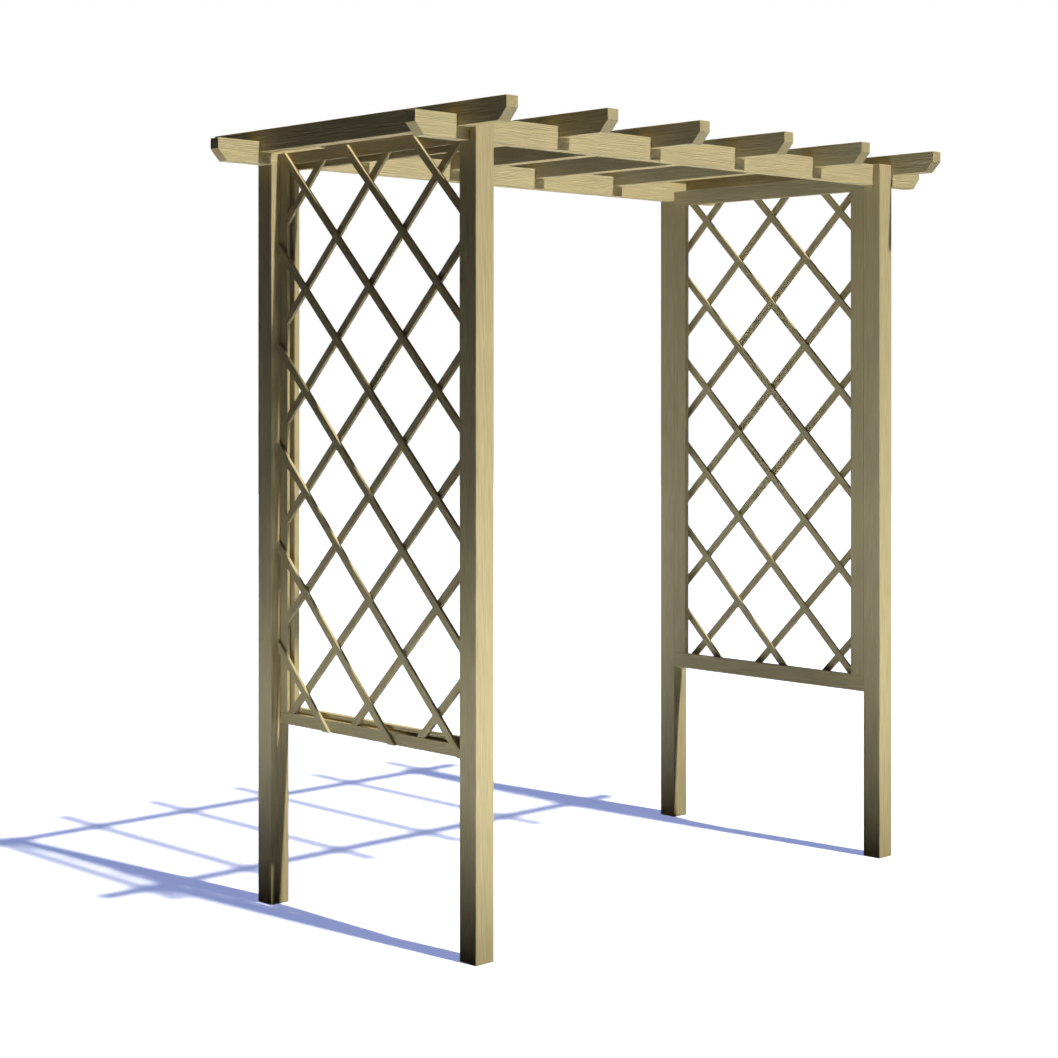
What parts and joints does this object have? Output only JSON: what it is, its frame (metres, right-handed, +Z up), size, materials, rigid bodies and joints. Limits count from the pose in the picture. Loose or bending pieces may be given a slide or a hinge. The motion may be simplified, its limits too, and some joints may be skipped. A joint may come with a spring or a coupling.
{
  "type": "pergola arch",
  "caption": "Timber pergola arch: square posts, beams and notched overhanging rafters with chamfered ends, and a framed diagonal lattice panel between the posts of each side.",
  "frame": {"origin": "on the ground at the middle of the overall box, half way between the sides and between the front and rear posts", "axes": "+X along the beams from the left side to the right side, +Y through the arch from front to rear, +Z up"},
  "size_m": [2.394, 1.378, 2.461],
  "materials": {
    "post_timber": "planed pressure-treated softwood, matt",
    "beam_timber": "planed pressure-treated softwood, matt",
    "trellis_timber": "planed pressure-treated softwood laths and bars, matt"
  },
  "bodies": {
    "root": {"beam_front": "beam_timber", "beam_rear": "beam_timber", "left_border_bottom": "trellis_timber", "left_border_front": "trellis_timber", "left_border_rear": "trellis_timber", "left_border_top": "trellis_timber", "left_frame_rail_bottom": "trellis_timber", "left_frame_rail_top": "trellis_timber", "left_frame_stile_front": "trellis_timber", "left_frame_stile_rear": "trellis_timber", "left_lath_inner_1": "trellis_timber", "left_lath_inner_2": "trellis_timber", "left_lath_inner_3": "trellis_timber", "left_lath_inner_4": "trellis_timber", "left_lath_inner_5": "trellis_timber", "left_lath_inner_6": "trellis_timber", "left_lath_inner_7": "trellis_timber", "left_lath_inner_8": "trellis_timber", "left_lath_outer_1": "trellis_timber", "left_lath_outer_2": "trellis_timber", "left_lath_outer_3": "trellis_timber", "left_lath_outer_4": "trellis_timber", "left_lath_outer_5": "trellis_timber", "left_lath_outer_6": "trellis_timber", "left_lath_outer_7": "trellis_timber", "left_lath_outer_8": "trellis_timber", "post_front_left": "post_timber", "post_front_right": "post_timber", "post_rear_left": "post_timber", "post_rear_right": "post_timber", "rafter_1": "beam_timber", "rafter_2": "beam_timber", "rafter_3": "beam_timber", "rafter_4": "beam_timber", "rafter_5": "beam_timber", "rafter_6": "beam_timber", "right_border_bottom": "trellis_timber", "right_border_front": "trellis_timber", "right_border_rear": "trellis_timber", "right_border_top": "trellis_timber", "right_frame_rail_bottom": "trellis_timber", "right_frame_rail_top": "trellis_timber", "right_frame_stile_front": "trellis_timber", "right_frame_stile_rear": "trellis_timber", "right_lath_inner_1": "trellis_timber", "right_lath_inner_2": "trellis_timber", "right_lath_inner_3": "trellis_timber", "right_lath_inner_4": "trellis_timber", "right_lath_inner_5": "trellis_timber", "right_lath_inner_6": "trellis_timber", "right_lath_inner_7": "trellis_timber", "right_lath_inner_8": "trellis_timber", "right_lath_outer_1": "trellis_timber", "right_lath_outer_2": "trellis_timber", "right_lath_outer_3": "trellis_timber", "right_lath_outer_4": "trellis_timber", "right_lath_outer_5": "trellis_timber", "right_lath_outer_6": "trellis_timber", "right_lath_outer_7": "trellis_timber", "right_lath_outer_8": "trellis_timber"}
  },
  "joints": []
}
